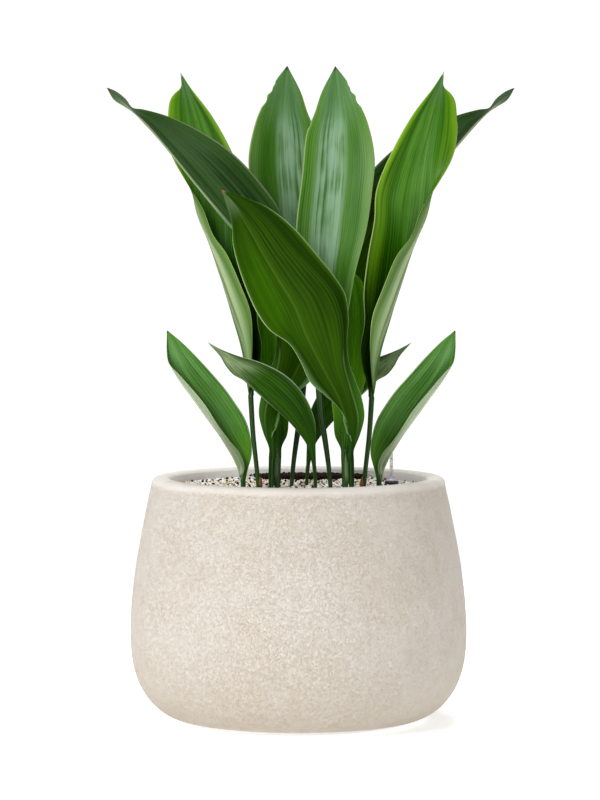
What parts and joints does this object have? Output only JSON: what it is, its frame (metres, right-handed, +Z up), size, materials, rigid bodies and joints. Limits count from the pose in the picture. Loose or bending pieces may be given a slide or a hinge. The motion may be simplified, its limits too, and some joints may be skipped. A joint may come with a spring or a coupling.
{
  "type": "potted plant",
  "caption": "Potted cast iron plant: broad upright and arching green leaves on slim stalks, in a round-bellied textured pot with mineral top dressing and a water-level gauge.",
  "frame": {"origin": "centre of the pot's flat base", "axes": "+Z up along the pot, -Y towards the front of the plant, +X to the plant's right as seen from the front"},
  "size_m": [0.5119, 0.43, 0.8318],
  "materials": {
    "pot": "fine stucco relief, matt",
    "soil": "matt, crumbly",
    "granules": "matt mixed mineral grains",
    "gauge_dark": "gloss",
    "gauge_clear": "clear",
    "gauge_red": "satin",
    "leaf_tall": "satin",
    "leaf_rolled": "satin",
    "leaf_outer": "satin",
    "leaf_broad": "satin",
    "leaf_inner": "satin",
    "leaf_low": "satin",
    "leaf_arching": "satin",
    "sheath_brown": "dry, papery",
    "sheath_green": "satin"
  },
  "bodies": {
    "root": {"gauge_collar": "gauge_dark", "gauge_cone": "gauge_clear", "gauge_float": "gauge_red", "gauge_tube": "gauge_clear", "leaf_arching_left": "leaf_arching", "leaf_arching_right": "leaf_arching", "leaf_broad_left": "leaf_broad", "leaf_broad_right": "leaf_broad", "leaf_inner_left": "leaf_inner", "leaf_inner_right": "leaf_inner", "leaf_low_left": "leaf_low", "leaf_low_right": "leaf_low", "leaf_outer_left": "leaf_outer", "leaf_outer_right": "leaf_outer", "leaf_rolled_left": "leaf_rolled", "leaf_rolled_right": "leaf_rolled", "leaf_tall_left": "leaf_tall", "leaf_tall_right": "leaf_tall", "mineral_granules": "granules", "pot": "pot", "potting_soil": "soil", "sheath_brown_left": "sheath_brown", "sheath_brown_right": "sheath_brown", "sheath_green_left": "sheath_green", "sheath_green_right": "sheath_green"}
  },
  "joints": []
}
